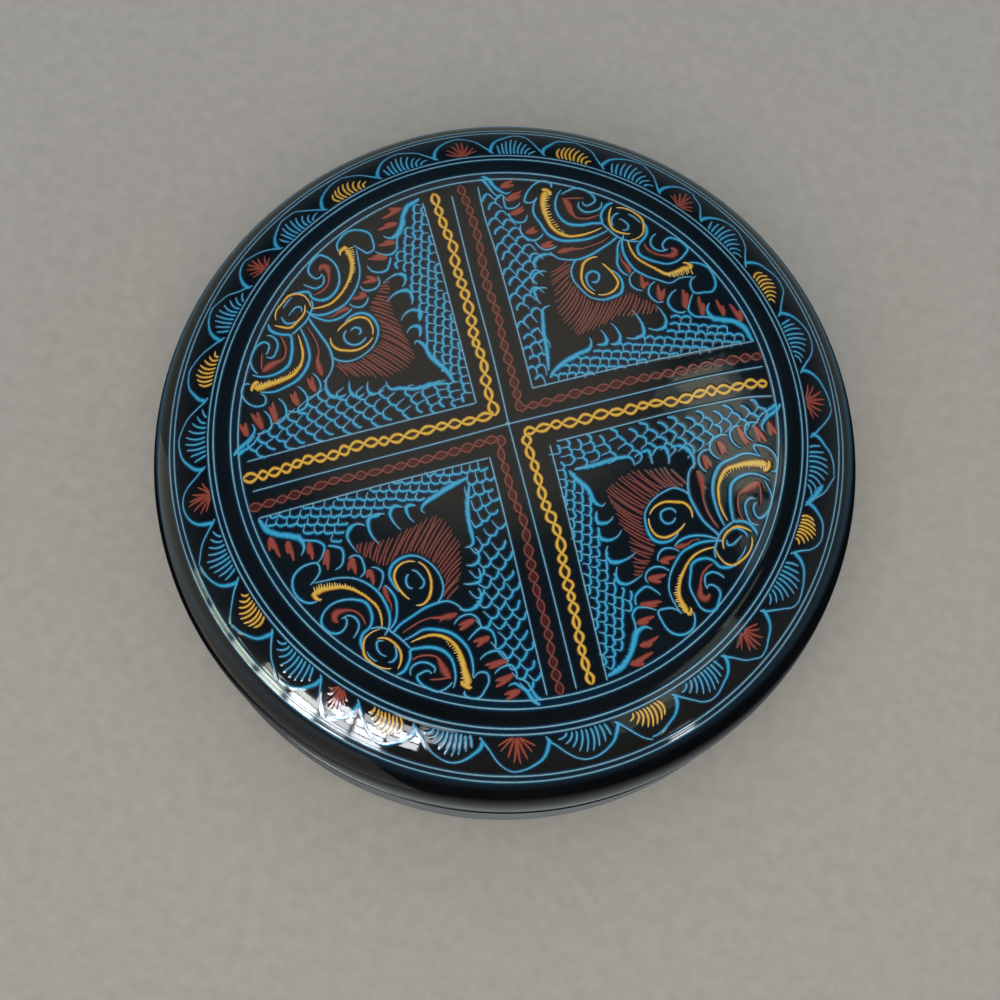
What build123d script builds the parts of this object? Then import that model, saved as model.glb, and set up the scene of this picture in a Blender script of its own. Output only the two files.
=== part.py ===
from build123d import *
from math import asin, cos, degrees, radians, sin
import os

# Round Kashmiri papier-mache box, all sizes in mm. +Z is up and the origin is the centre of the
# underside, on the table. Three pieces: a moulded base, a collar strip glued inside its mouth, and a
# moulded domed lid that drops over the collar and rests on the base's rim.

# ---- lid ----
lid_radius = 72.0  # outside of the lid's upright skirt
skirt_height = 8.0  # upright part of the lid, from its edge to the start of the shoulder
lid_wall = 2.8  # pasted paper shell, the same thickness all over the lid
crown_rise = 5.1  # how far the flat-domed middle stands above its own edge
shoulder_width = 18.0  # from the edge of the dome out to the skirt
crease_radius = 8.0  # soft crease where the dome ends and the shoulder begins
brow_slope = 22.0  # degrees below level, at the top of the shoulder
shoulder_slope = 42.0  # degrees below level, where the shoulder starts to turn down sharply
shoulder_radius = 17.0  # turn from the shoulder into the upright skirt

# ---- base ----
seam_height = 22.0  # from the table to the seam between base and lid
rim_step = 0.3  # the base's rim stands this far outside the lid
foot_spread = 0.9  # the base's wall leans out by this much from the rim to the foot
floor_thickness = 3.5
inside_corner = 4.0  # fillet between floor and wall, left by the mould
foot_round = 1.5  # rounding of the edge that meets the table

# ---- collar ----
collar_thickness = 1.8
collar_grip = 10.0  # glued depth below the seam
collar_stand = 7.0  # height above the seam, inside the lid
lid_clearance = 0.4  # radial gap between the collar and the lid

# ---- eased edges ----
seam_ease = 0.6  # eased outer edges on both sides of the seam
lip_ease = 0.5  # lead-in inside the lid's edge and on both top edges of the collar
same_level = 0.01  # edges this close in height count as being at one level

# ---- sizes that follow ----
lid_inner_radius = lid_radius - lid_wall
collar_radius = lid_inner_radius - lid_clearance
rim_radius = lid_radius + rim_step
foot_radius = rim_radius + foot_spread
dome_edge_radius = lid_radius - shoulder_width
dome_radius = (dome_edge_radius**2 + crown_rise**2) / (2 * crown_rise)
dome_slope = degrees(asin(dome_edge_radius / dome_radius))

# The shoulder's first arc fills the width that the crease and the last turn leave free.
crease_width = crease_radius * (sin(radians(brow_slope)) - sin(radians(dome_slope)))
turn_width = shoulder_radius * (1 - sin(radians(shoulder_slope)))
brow_width = shoulder_width - crease_width - turn_width
brow_radius = brow_width / (sin(radians(shoulder_slope)) - sin(radians(brow_slope)))


def level_drop(radius, first_slope, last_slope):
    """Height lost along an arc that turns from one downward slope to a steeper one."""
    return radius * (cos(radians(first_slope)) - cos(radians(last_slope)))


shoulder_drop = (
    level_drop(crease_radius, dome_slope, brow_slope)
    + level_drop(brow_radius, brow_slope, shoulder_slope)
    + level_drop(shoulder_radius, shoulder_slope, 90)
)
overall_height = seam_height + skirt_height + shoulder_drop + crown_rise


def crown_line(inset):
    """Half profile of the lid's top, from the axis out to the skirt, set in by `inset` all along."""
    dome = JernArc((0, overall_height - inset), (1, 0), dome_radius - inset, -dome_slope)
    crease = JernArc(dome @ 1, dome % 1, crease_radius - inset, dome_slope - brow_slope)
    brow = JernArc(crease @ 1, crease % 1, brow_radius - inset, brow_slope - shoulder_slope)
    turn = JernArc(brow @ 1, brow % 1, shoulder_radius - inset, shoulder_slope - 90)
    return dome @ 0, turn @ 1


def circles_at(solid, level):
    """Circular edges of a turned solid at one height, from the smallest to the largest."""
    rings = solid.edges().filter_by(GeomType.CIRCLE)
    return rings.filter_by_position(Axis.Z, level - same_level, level + same_level).sort_by(SortBy.RADIUS)


# ---- lid: a moulded shell, outside and inside run parallel ----
with BuildPart() as lid:
    with BuildSketch(Plane.XZ):
        with BuildLine():
            outer_top, outer_skirt = crown_line(0)
            inner_top, inner_skirt = crown_line(lid_wall)
            Line(outer_top, inner_top)
            Polyline(outer_skirt, (lid_radius, seam_height), (lid_inner_radius, seam_height), inner_skirt)
        make_face()
    revolve(axis=Axis.Z)
    chamfer(circles_at(lid, seam_height)[-1], seam_ease)
    chamfer(circles_at(lid, seam_height)[0], lip_ease)
lid.part.label = "lid"

# ---- base: floor and wall moulded in one, the wall thickening towards the foot ----
with BuildPart() as base:
    with BuildSketch(Plane.XZ):
        with BuildLine():
            Polyline(
                (0, 0),
                (foot_radius, 0),
                (rim_radius, seam_height),
                (collar_radius, seam_height),
                (collar_radius, floor_thickness),
                (0, floor_thickness),
                close=True,
            )
        make_face()
    revolve(axis=Axis.Z)
    fillet(circles_at(base, 0)[-1], foot_round)
    fillet(circles_at(base, floor_thickness)[-1], inside_corner)
    chamfer(circles_at(base, seam_height)[-1], seam_ease)
base.part.label = "base"

# ---- collar: a strip of pasted paper bent into a ring ----
with BuildPart() as collar:
    with BuildSketch(Plane.XY.offset(seam_height - collar_grip)):
        Circle(collar_radius)
        Circle(collar_radius - collar_thickness, mode=Mode.SUBTRACT)
    extrude(amount=collar_grip + collar_stand)
    chamfer(circles_at(collar, seam_height + collar_stand), lip_ease)
collar.part.label = "collar"

os.makedirs("parts", exist_ok=True)
export_step(lid.part, "parts/lid.step")
export_step(base.part, "parts/base.step")
export_step(collar.part, "parts/collar.step")

print(f"overall height {overall_height:.2f}, brow radius {brow_radius:.2f}, dome slope {dome_slope:.2f}")
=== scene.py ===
import random
from collections import namedtuple
from math import asin, ceil, cos, degrees, exp, hypot, pi, radians, sin, sqrt

import bpy
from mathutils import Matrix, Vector


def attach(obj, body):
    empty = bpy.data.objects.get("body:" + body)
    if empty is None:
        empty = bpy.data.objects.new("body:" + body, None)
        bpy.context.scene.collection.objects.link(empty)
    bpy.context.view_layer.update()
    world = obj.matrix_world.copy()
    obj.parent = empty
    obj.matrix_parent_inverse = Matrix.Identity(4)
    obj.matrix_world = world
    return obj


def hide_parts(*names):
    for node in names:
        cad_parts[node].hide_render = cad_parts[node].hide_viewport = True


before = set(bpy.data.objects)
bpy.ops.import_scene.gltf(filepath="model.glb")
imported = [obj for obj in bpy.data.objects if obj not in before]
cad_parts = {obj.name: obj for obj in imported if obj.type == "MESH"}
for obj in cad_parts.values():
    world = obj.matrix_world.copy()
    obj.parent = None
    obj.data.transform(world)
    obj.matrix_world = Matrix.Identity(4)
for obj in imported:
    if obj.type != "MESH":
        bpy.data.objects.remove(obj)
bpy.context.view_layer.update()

# A round box of papier mache, lacquered black, with a lift-off domed lid. The lid's top is covered
# with fine strokes cut and painted by hand: a cross of twisted cords parts it into four quarters,
# each with a leaf, an eye and a spray of curls on a fish-scale net, and a border of fans runs round
# the shoulder. Sizes are in millimetres and turned to metres as the meshes are made.
MM = 0.001

# ---- sizes of the three shells, as in the part's own source ----
lid_radius = 72.0
skirt_height = 8.0
lid_wall = 2.8
crown_rise = 5.1
shoulder_width = 18.0
crease_radius = 8.0
brow_slope = 22.0
shoulder_slope = 42.0
shoulder_radius = 17.0
seam_height = 22.0
rim_step = 0.3
foot_spread = 0.9
floor_thickness = 3.5
inside_corner = 4.0
foot_round = 1.5
collar_thickness = 1.8
collar_grip = 10.0
collar_stand = 7.0
lid_clearance = 0.4
seam_ease = 0.6
lip_ease = 0.5
lid_inner_radius = lid_radius - lid_wall
collar_radius = lid_inner_radius - lid_clearance
rim_radius = lid_radius + rim_step
foot_radius = rim_radius + foot_spread
dome_edge_radius = lid_radius - shoulder_width
dome_radius = (dome_edge_radius**2 + crown_rise**2) / (2 * crown_rise)
dome_slope = degrees(asin(dome_edge_radius / dome_radius))
crease_width = crease_radius * (sin(radians(brow_slope)) - sin(radians(dome_slope)))
turn_width = shoulder_radius * (1 - sin(radians(shoulder_slope)))
brow_width = shoulder_width - crease_width - turn_width
brow_radius = brow_width / (sin(radians(shoulder_slope)) - sin(radians(brow_slope)))

skin = 0.04  # room left under the part's surface for the raised strokes
turns = 256  # steps round every turned shell
weld = 0.002  # points closer than this are one
sharp_from = 35  # degrees at which a turned edge stays sharp


def crown_arcs():
    """The lid's profile from the skirt's top inwards, as (radius, first slope, last slope, centre)."""
    bends = ((dome_radius, dome_slope), (crease_radius, brow_slope))
    bends += ((brow_radius, shoulder_slope), (shoulder_radius, 90.0))
    arcs, at_radius, at_height, slope = [], 0.0, 0.0, 0.0
    for radius, last in bends:
        centre = (at_radius - radius * sin(radians(slope)), at_height - radius * cos(radians(slope)))
        arcs.append((radius, slope, last, centre))
        at_radius = centre[0] + radius * sin(radians(last))
        at_height = centre[1] + radius * cos(radians(last))
        slope = last
    lift = seam_height + skirt_height - at_height
    return [(r, a, b, (c[0], c[1] + lift)) for r, a, b, c in arcs]


CROWN = crown_arcs()


def crown_at(radius):
    """Height of the lid's top and its slope, at a distance from the axis."""
    for bend, first, last, centre in CROWN:
        across = radius - centre[0]
        if across <= bend * sin(radians(last)):
            break
    across = min(across, 0.999 * bend)
    rise = sqrt(bend * bend - across * across)
    return centre[1] + rise, across / rise


def crown_outline(inset, steps=(20, 6, 24, 36)):
    """The lid's profile, set in by `inset`, from the axis out to the top of the skirt."""
    line = []
    for (bend, first, last, centre), count in zip(CROWN, steps):
        for k in range(count + 1):
            slope = radians(first + (last - first) * k / count)
            point = (centre[0] + (bend - inset) * sin(slope), centre[1] + (bend - inset) * cos(slope))
            if not line or hypot(point[0] - line[-1][0], point[1] - line[-1][1]) > 0.01:
                line.append(point)
    return line


def corner(centre, radius, first, last, count=6):
    """A rounded corner of an outline, between two angles in degrees from level."""
    angles = [radians(first + (last - first) * k / count) for k in range(count + 1)]
    return [(centre[0] + radius * cos(a), centre[1] + radius * sin(a)) for a in angles]


# ---- colours and materials ----
def tint(code):
    """An sRGB hex colour as linear red, green, blue and alpha."""
    parts = [int(code[k : k + 2], 16) / 255 for k in (1, 3, 5)]
    return [p / 12.92 if p <= 0.04045 else ((p + 0.055) / 1.055) ** 2.4 for p in parts] + [1.0]


def feed(tree, target, inputs):
    """Set inputs by order or by name, each to a value, a node's output or a node's first output."""
    for key, value in inputs.items() if isinstance(inputs, dict) else enumerate(inputs):
        if isinstance(value, bpy.types.Node):
            value = value.outputs[0]
        if isinstance(value, bpy.types.NodeSocket):
            tree.links.new(value, target.inputs[key])
        else:
            target.inputs[key].default_value = value


def node(tree, kind, inputs=(), stops=(), **settings):
    """Add a shader node with its settings and inputs; a ramp's stops are (place, hex colour) pairs."""
    made = tree.nodes.new("ShaderNode" + kind)
    for key, value in settings.items():
        setattr(made, key, value)
    feed(tree, made, inputs)
    if stops:
        elements = made.color_ramp.elements
        while len(elements) < len(stops):
            elements.new(1.0)
        # The ramp sorts its elements by place, so the colours go on after all the places.
        for element, (place, _) in zip(elements, stops):
            element.position = place
        for element, (_, code) in zip(elements, stops):
            element.color = tint(code)
    return made


def per_mm(size):
    """Noise scale for features of that size in millimetres, on coordinates in metres."""
    return 1 / (size * MM)


def start(name):
    """A new material with its node tree, its main shader and the object's own coordinates."""
    material = bpy.data.materials.new(name)
    material.use_nodes = True
    tree = material.node_tree
    return material, tree, tree.nodes["Principled BSDF"], node(tree, "TexCoord").outputs["Object"]


def varnish(tree, shader, place):
    """Clear varnish over black and paint alike, brushed on in slow waves and rubbed down, so it mirrors
    a little less and keeps a fine orange peel."""
    waves = node(tree, "TexNoise", {"Vector": place, "Scale": per_mm(16), "Detail": 2.0})
    peel = node(tree, "TexNoise", {"Vector": place, "Scale": per_mm(0.9), "Detail": 3.0})
    wavy = node(tree, "Bump", {"Height": waves, "Distance": 0.22 * MM, "Strength": 0.35})
    fine = {"Height": peel, "Distance": 0.012 * MM, "Strength": 0.3, "Normal": wavy}
    feed(tree, shader, {"Normal": node(tree, "Bump", fine), "IOR": 1.5, "Specular IOR Level": 0.36})


def black_lacquer():
    """Black varnish rubbed smooth over primed papier mache: deep and glossy, with a faint haze of
    handling, and brown paper showing where the foot's edge has worn."""
    material, tree, shader, place = start("black_lacquer_on_papier_mache")
    height = node(tree, "SeparateXYZ", (place,)).outputs[2]
    cloud = node(tree, "TexNoise", {"Vector": place, "Scale": per_mm(22), "Detail": 4.0})
    black = node(tree, "ValToRGB", (cloud,), ((0.35, "#0a0b0d"), (0.65, "#101113")))
    # The wear ends in a ragged line less than a millimetre above the table.
    fray = node(tree, "TexNoise", {"Vector": place, "Scale": per_mm(2.2), "Detail": 5.0})
    paper = node(tree, "ValToRGB", (fray,), ((0.4, "#6b4a30"), (0.7, "#a98a66")))
    worn_to = node(tree, "Math", (fray, 2.6 * MM), operation="MULTIPLY")
    worn_to = node(tree, "Math", (worn_to, 1.12 * MM), operation="SUBTRACT")
    worn = node(tree, "Math", (height, worn_to), operation="LESS_THAN")
    mixed = node(tree, "Mix", {0: worn, "A": black, "B": paper}, data_type="RGBA")
    smear = node(tree, "TexNoise", {"Vector": place, "Scale": per_mm(11), "Detail": 6.0})
    haze = node(tree, "MapRange", (smear, 0.35, 0.75, 0.03, 0.1))
    # Handling has dulled the upright wall below the shoulder.
    dulled = node(tree, "MapRange", (height, 27 * MM, 37 * MM, 0.16, 0.0))
    rough = node(tree, "Math", (haze, dulled), operation="ADD")
    feed(tree, shader, {"Base Color": mixed.outputs[2], "Roughness": rough})
    varnish(tree, shader, place)
    return material


def satin_inside():
    """The inside, given one thin brushed coat: near black, satin, with the paper's pulp felt under it."""
    material, tree, shader, place = start("thin_black_coat_inside")
    pulp = node(tree, "TexNoise", {"Vector": place, "Scale": per_mm(1.6), "Detail": 6.0})
    shade = node(tree, "ValToRGB", (pulp,), ((0.3, "#0d0c0b"), (0.6, "#191614"), (0.8, "#2a221c")))
    rough = node(tree, "MapRange", (pulp, 0.3, 0.7, 0.38, 0.6))
    lumps = node(tree, "TexNoise", {"Vector": place, "Scale": per_mm(7), "Detail": 3.0})
    uneven = node(tree, "Bump", {"Height": lumps, "Distance": 0.4 * MM, "Strength": 0.5})
    felt = {"Height": pulp, "Distance": 0.1 * MM, "Strength": 0.5, "Normal": uneven}
    feed(tree, shader, {"Base Color": shade, "Roughness": rough, "Normal": node(tree, "Bump", felt)})
    return material


def cut_paint(name, far, halo, edge, core, pale):
    """Colour laid in a cut line under the clear coat: soaked into the dark at the cut's shoulders, full
    in the middle, thin and pale where the tool lifted. The stroke's own map runs along and across it."""
    material, tree, shader, place = start(name)
    across = node(tree, "SeparateXYZ", (node(tree, "UVMap", uv_map="stroke"),)).outputs[1]
    chatter = node(tree, "TexNoise", {"Vector": place, "Scale": per_mm(0.35), "Detail": 2.0})
    shaken = node(tree, "MapRange", (chatter, 0.3, 0.7, -0.03, 0.03))
    moved = node(tree, "Math", (across, shaken), operation="ADD")
    thin, full = (
        node(tree, "ValToRGB", (moved,), (
            (0.03, "#0b0d0f"), (0.14, far), (0.27, halo), (0.33, edge), (0.43, middle),
            (0.57, middle), (0.67, edge), (0.73, halo), (0.86, far), (0.97, "#0b0d0f"),
        ))
        for middle in (pale, core)
    )
    load = node(tree, "Attribute", attribute_name="load").outputs["Fac"]
    mixed = node(tree, "Mix", {0: load, "A": thin, "B": full}, data_type="RGBA")
    feed(tree, shader, {"Base Color": mixed.outputs[2], "Roughness": 0.08})
    varnish(tree, shader, place)
    return material


LACQUER = black_lacquer()
INSIDE = satin_inside()
# Each paint's name, then its colours from the cut's dark shoulder in to its full and its thin middle.
PAINTS = {
    letter: cut_paint(name, *colours)
    for letter, name, *colours in (
        ("b", "turquoise_paint_in_cut_lines", "#0b2b45", "#0e4060", "#1f7598", "#42acd6", "#8abace"),
        ("p", "pale_blue_ring_lines", "#0b2a44", "#0f3b5c", "#32687f", "#84aeba", "#9cbcc4"),
        ("y", "ochre_yellow_paint_in_cut_lines", "#1e1408", "#40280c", "#a8701c", "#e6b84a", "#efd892"),
        ("r", "brick_red_paint_in_cut_lines", "#1e0c09", "#34110c", "#602419", "#9b4a3c", "#a4685a"),
        ("u", "faded_red_paint_in_cut_lines", "#2a100c", "#36130e", "#531f18", "#81433a", "#8e5a4e"),
        ("m", "dark_maroon_ground_of_links", "#220c0a", "#35120d", "#451710", "#4e1b13", "#4e1b13"),
        ("o", "dark_umber_ground_of_links", "#15100b", "#1e150b", "#281b0d", "#2e2010", "#2e2010"),
        ("n", "dark_blue_ground_of_rings", "#0a131c", "#0a1824", "#0a1b2a", "#0a1c2c", "#0a1c2c"),
    )
}


# ---- turned shells ----
def turn_shell(name, outline):
    """Draw an outline of (radius, height) points and spin it round the upright axis."""
    bpy.ops.object.select_all(action="DESELECT")
    bpy.ops.mesh.primitive_plane_add(size=MM, location=(0, 0, 0))
    shell = bpy.context.object
    shell.name = name
    bpy.ops.object.mode_set(mode="EDIT")
    bpy.ops.mesh.select_all(action="SELECT")
    bpy.ops.mesh.merge(type="CENTER")
    points = [Vector((r * MM, 0, z * MM)) for r, z in outline]
    bpy.ops.transform.translate(value=points[0])
    for here, there in zip(points, points[1:]):
        bpy.ops.mesh.extrude_vertices_move(TRANSFORM_OT_translate={"value": there - here})
    bpy.ops.mesh.select_all(action="SELECT")
    bpy.ops.mesh.spin(steps=turns, angle=2 * pi, center=(0, 0, 0), axis=(0, 0, 1))
    bpy.ops.mesh.select_all(action="SELECT")
    bpy.ops.mesh.remove_doubles(threshold=weld * MM)
    bpy.ops.mesh.normals_make_consistent(inside=False)
    bpy.ops.object.mode_set(mode="OBJECT")
    bpy.ops.object.shade_smooth_by_angle(angle=radians(sharp_from))
    return shell


def finish_shell(shell, body, cad_node, is_inside):
    """Give a shell its outer lacquer and its inner coat, and let it stand for its solid."""
    shell.data.materials.append(LACQUER)
    shell.data.materials.append(INSIDE)
    for face in shell.data.polygons:
        face.material_index = int(is_inside(face))
    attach(shell, body)
    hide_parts(cad_node)


lid_outline = crown_outline(skin)
lid_outline += corner((lid_radius - seam_ease, seam_height + seam_ease), seam_ease - skin, 0, -90)
lid_outline += corner((lid_inner_radius + lip_ease, seam_height + lip_ease), lip_ease - skin, -90, -180)
lid_outline += list(reversed(crown_outline(lid_wall, (16, 3, 12, 18))))
lid = turn_shell("lid_shell", lid_outline)


def in_lid(face):
    middle = face.center / MM
    out = hypot(middle.x, middle.y)
    return out < lid_inner_radius - 0.05 and middle.z < crown_at(out)[0] - lid_wall / 2


finish_shell(lid, "lid", "lid", in_lid)

# A few points along the flats keep their faces short.
base_outline = [(0, 0), (40, 0), (60, 0)]
base_outline += corner((foot_radius - foot_round - 2 * skin, foot_round), foot_round, -90, 0, 8)
base_outline += corner((rim_radius - seam_ease, seam_height - seam_ease), seam_ease - skin, 0, 90)
base_outline += corner((collar_radius + lip_ease, seam_height - lip_ease), lip_ease - skin, 90, 180)
base_outline += corner(
    (collar_radius - inside_corner, floor_thickness + inside_corner), inside_corner, 0, -90, 8
)
base_outline += [(50, floor_thickness), (25, floor_thickness), (0, floor_thickness)]
base = turn_shell("base_shell", base_outline)


def in_base(face):
    middle = face.center / MM
    return hypot(middle.x, middle.y) < collar_radius + 0.1 and middle.z > 1


finish_shell(base, "base", "base", in_base)

collar_inner = collar_radius - collar_thickness
collar_foot, collar_top = seam_height - collar_grip, seam_height + collar_stand
collar_outline = [(collar_inner, collar_foot), (collar_radius - skin, collar_foot)]
collar_outline += corner((collar_radius - lip_ease, collar_top - lip_ease), lip_ease - skin, 0, 90)
collar_outline += corner((collar_inner + lip_ease, collar_top - lip_ease), lip_ease - skin, 90, 180)
collar_outline += [(collar_inner, collar_foot)]
collar = turn_shell("collar_strip", collar_outline)
finish_shell(collar, "base", "collar", lambda face: True)


# ---- strokes laid on the lid's top ----
HALO = 0.34  # dark shoulder of the cut on each side of the colour
STEP = 0.4  # spacing of points along a stroke
# A stroke's section: how far out to either side, place on the stroke's map, height.
ACROSS = ((-1, 0.0, 0.002), (-0.5, 0.3, 0.010), (0, 0.5, 0.026), (0.5, 0.7, 0.010), (1, 1.0, 0.002))
HAIRLINE = 0.06  # the thinnest colour
DRY, LOADED = 0.15, 0.5  # widths at which the brush is out of paint and full of it
PLACED, DRAWN = 0.42, 0.38  # a plain stroke's width as it is placed and as it is drawn
hand = random.Random(7)  # every slip of the hand, drawn in one fixed order


def smooth_line(points, step=STEP):
    """A smooth line of (x, y, width) samples through given points."""
    spans = [max(hypot(b[0] - a[0], b[1] - a[1]), 0.01) for a, b in zip(points, points[1:])]
    rates = []
    for k in range(len(points)):
        before, after = max(k - 1, 0), min(k, len(spans) - 1)
        ahead = [(q - p) / spans[after] for p, q in zip(points[after], points[after + 1])]
        behind = [(q - p) / spans[before] for p, q in zip(points[before], points[before + 1])]
        total = spans[before] + spans[after]
        rates.append([(b * spans[after] + a * spans[before]) / total for b, a in zip(behind, ahead)])
    for end, beside in ((0, 1), (-1, -2)):
        if len(points) > 2:
            rates[end] = [2 * chord - inner for chord, inner in zip(rates[end], rates[beside])]
    line = []
    for k, span in enumerate(spans):
        count = max(2, ceil(span / step))
        for j in range(count + (k == len(spans) - 1)):
            t = j / count
            h = (2 * t**3 - 3 * t**2 + 1, t**3 - 2 * t**2 + t, 3 * t**2 - 2 * t**3, t**3 - t**2)
            ends = zip(points[k], rates[k], points[k + 1], rates[k + 1])
            x, y, width = (h[0] * p + h[1] * m * span + h[2] * q + h[3] * n * span for p, m, q, n in ends)
            line.append((x, y, max(width, HAIRLINE)))
    return line


class Layer:
    """Strokes of one paint gathered into one piece of the lid."""

    def __init__(self, name, paint):
        self.name, self.paint = name, PAINTS[paint]
        self.points, self.faces, self.maps, self.loads = [], [], [], []

    def line(self, samples, closed=False, halo=HALO, lift=1.0, ragged=0.0):
        """Lay a ribbon along (x, y, width) samples."""
        first, count, wide = len(self.points), len(samples), len(ACROSS)
        runs = [0.0]
        for a, b in zip(samples, samples[1:]):
            runs.append(runs[-1] + hypot(b[0] - a[0], b[1] - a[1]))
        shade = hand.uniform(0.85, 1.15)
        for k, (x, y, width) in enumerate(samples):
            a = samples[k - 1] if closed or k else samples[0]
            b = samples[(k + 1) % count] if closed or k < count - 1 else samples[-1]
            along = (b[0] - a[0], b[1] - a[1])
            size = hypot(*along) or 1.0
            side = (along[1] / size, -along[0] / size)
            end = 1.0 if closed else min(runs[k], runs[-1] - runs[k])
            round_off = min(1.0, sqrt(end / max(0.5 * width, 0.12))) if end < width else 1.0
            for place, v, height in ACROSS:
                rough = 1 + (hand.uniform(-ragged, ragged) if ragged and place > 0 else 0.0)
                reach = width / 2 * rough * (place != 0) + halo * (abs(place) == 1)
                reach *= round_off * (1 if place > 0 else -1)
                px, py = x + side[0] * reach, y + side[1] * reach
                out = hypot(px, py)
                level, slope = crown_at(out)
                up = 1 / sqrt(1 + slope * slope)
                raise_by = (height * lift - skin) * up
                lean = raise_by * slope / out if out else 0.0
                stretch = (1 + lean) * MM
                self.points.append((px * stretch, py * stretch, (level + raise_by) * MM))
                self.maps.append((runs[k], v))
                self.loads.append(max(0.0, min(1.0, (width - DRY) / (LOADED - DRY) * shade)))
        for k in range(count if closed else count - 1):
            for j in range(wide - 1):
                a, b = first + k * wide + j, first + (k + 1) % count * wide + j
                self.faces.append((a, a + 1, b + 1, b))

    def stroke(self, points, wobble=0.08, press=1.3, **options):
        """Lay one hand stroke through a few (x, y, width) points; `press` swells the wide parts."""
        shaken = [
            (x + hand.gauss(0, wobble), y + hand.gauss(0, wobble), DRAWN * (w / PLACED) ** press)
            for x, y, w in points
        ]
        self.line(smooth_line(shaken), **options)

    def build(self):
        """Make the piece's mesh, with the stroke map and the paint load, and put it on the lid."""
        mesh = bpy.data.meshes.new(self.name)
        mesh.from_pydata(self.points, [], self.faces)
        chart = mesh.uv_layers.new(name="stroke")
        for loop, entry in zip(mesh.loops, chart.data):
            entry.uv = self.maps[loop.vertex_index]
        load = mesh.attributes.new("load", "FLOAT", "POINT")
        load.data.foreach_set("value", self.loads)
        mesh.materials.append(self.paint)
        mesh.polygons.foreach_set("use_smooth", [True] * len(mesh.polygons))
        piece = bpy.data.objects.new(self.name, mesh)
        bpy.context.scene.collection.objects.link(piece)
        if sum(f.normal.z * f.area for f in mesh.polygons) < 0:
            mesh.flip_normals()
        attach(piece, "lid")


# ---- rings ----
ring_steps = 720


def ring(layer, radius, width, **options):
    """Lay a ring line whose width swells and thins a little as the box is turned under the tool."""
    circle = []
    for k in range(ring_steps):
        angle = 2 * pi * k / ring_steps
        circle.append((radius * cos(angle), radius * sin(angle), width + 0.05 * sin(k / 9) * sin(k / 23)))
    layer.line(circle, closed=True, **options)


for ring_name, radii, width in (
    ("ring_pair_inner", (52.3, 53.8), 0.31),
    ("ring_pair_middle", (57.3, 58.4), 0.34),
    ("ring_pair_outer", (65.8, 66.85), 0.33),
):
    rings = Layer(ring_name, "p")
    for radius in radii:
        ring(rings, radius, width, halo=0.4)
    rings.build()
    between = Layer(ring_name + "_ground", "n")
    ring(between, sum(radii) / 2, radii[1] - radii[0], halo=0.1, lift=0.4)
    between.build()

# ---- border of fans ----
border_turn = 7.2  # where the first arch starts, in degrees
# Start of each arch in degrees clockwise from there, and the paints of their fans.
ARCH_STARTS = (
    0.0, 13.4, 23.3, 35.7, 47.0, 58.7, 70.3, 83.0, 95.0, 107.2, 118.3, 126.6, 138.8, 150.3, 162.4, 172.7,
    186.0, 198.2, 209.9, 219.7, 231.3, 243.8, 255.5, 266.5, 276.7, 288.7, 301.0, 311.0, 323.2, 335.0, 347.2,
)
FAN_PAINTS = "bybrbybrbyrbybrbybrbybrbybrbybr"
# An arch as (part of its span, radius, width) points, up to its top and down from it.
ARCH_RISE = (
    (0.0, 59.4, 0.8), (0.03, 61.0, 0.8), (0.11, 62.5, 0.62), (0.24, 63.7, 0.46), (0.41, 64.55, 0.36),
    (0.53, 64.6, 0.3),
)
ARCH_FALL = ((0.64, 64.1, 0.28), (0.77, 62.9, 0.3), (0.9, 61.1, 0.36), (1.02, 59.5, 0.45), (1.06, 59.0, 0.3))
# Where the hand was lifted at the top, the fall begins a little off.
LIFTED_FALL = ((0.52, 65.0, 0.2),) + ARCH_FALL


def on_border(turn, out, width):
    """A place on the border, by its turn clockwise from where the first arch starts."""
    angle = radians(border_turn - turn)
    return out * cos(angle), out * sin(angle), width


def blade(foot, head, bend, base, tip, widths, share=0.5):
    """A stroke of a fan, as (part of the span, radius, width) of its foot, its bend and its head."""
    middle = base + share * (tip - base)
    return (foot, base, widths[0]), (bend, middle, widths[1]), (head, tip, widths[2])


FANS = {"b": [], "y": [], "r": []}
for k, tip in enumerate((61.5, 62.3, 63.0, 63.4, 63.3, 62.7, 61.9, 61.0, 60.0)):
    foot, head = 0.2 + 0.068 * k, 0.14 + 0.094 * k
    FANS["b"].append(blade(foot, head, 0.7 * foot + 0.3 * head - 0.02, 58.75, tip, (0.42, 0.42, 0.22)))
for k, tip in enumerate((61.9, 62.5, 62.9, 62.9, 62.6, 62.0, 61.2, 60.2)):
    foot, head = 0.3 + 0.063 * k, 0.28 + 0.078 * k
    FANS["y"].append(blade(foot, head, foot - 0.06 + 0.008 * k, 58.8, tip, (0.4, 0.55, 0.3)))
for head, tip in (
    (0.22, 60.3), (0.25, 61.5), (0.33, 62.8), (0.44, 63.6), (0.53, 63.3), (0.63, 62.4), (0.73, 61.2),
    (0.77, 60.1),
):
    foot, broad = 0.5 + 0.15 * (head - 0.5), 0.62 if 0.3 < head < 0.65 else 0.45
    FANS["r"].append(blade(foot, head, 0.45 * foot + 0.55 * head, 58.9, tip, (0.45, broad, 0.16), 0.6))

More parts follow.
